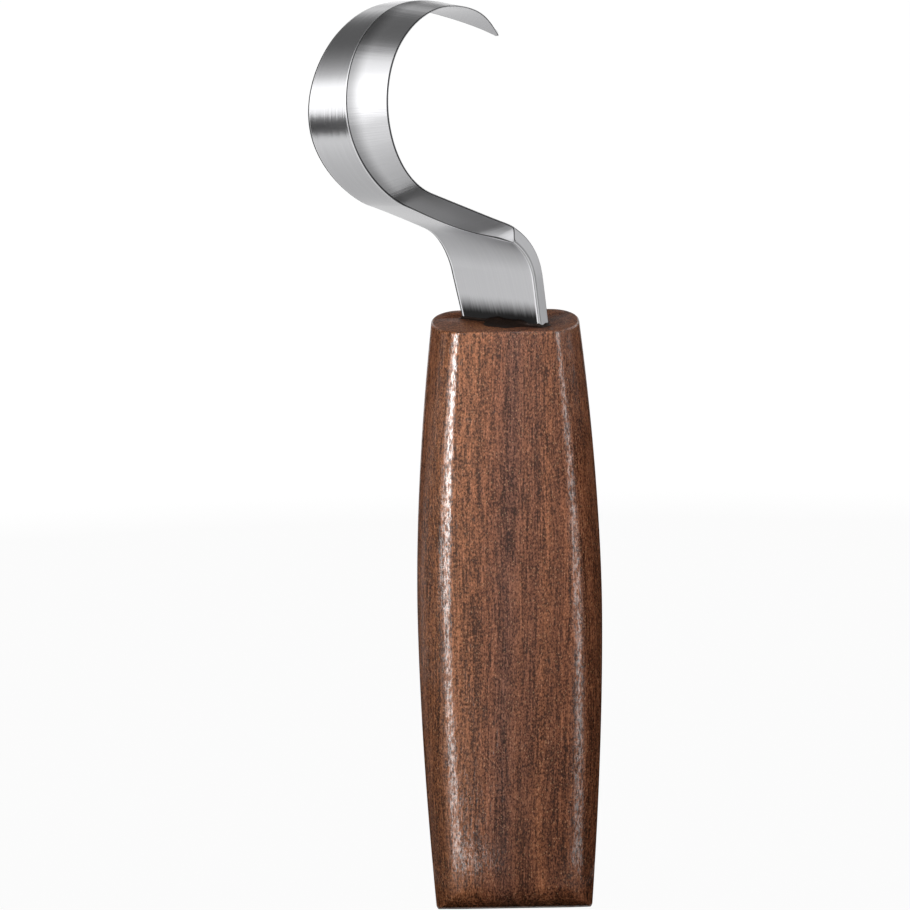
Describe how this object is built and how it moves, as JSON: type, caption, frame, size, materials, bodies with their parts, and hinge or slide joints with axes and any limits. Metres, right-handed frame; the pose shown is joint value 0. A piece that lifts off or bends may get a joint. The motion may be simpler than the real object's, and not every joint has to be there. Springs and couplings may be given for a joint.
{
  "type": "hook knife",
  "caption": "Hook knife: a steel strip bent into an open hook with one ground outer bevel, glued into a bellied wooden handle with a squared butt.",
  "frame": {"origin": "middle of the handle's butt face", "axes": "+Z along the handle from the butt to the blade; -Y out of the handle's front broad face, the side that the hook bends towards"},
  "size_m": [0.0532, 0.0395, 0.1716],
  "materials": {
    "walnut": "oiled and lacquered walnut, satin, with open pores",
    "steel": "ground and polished carbon steel with fine cross lines",
    "epoxy": "cured dark epoxy"
  },
  "bodies": {
    "root": {"handle": "walnut", "hook_blade": "steel", "tang_epoxy": "epoxy"}
  },
  "joints": []
}
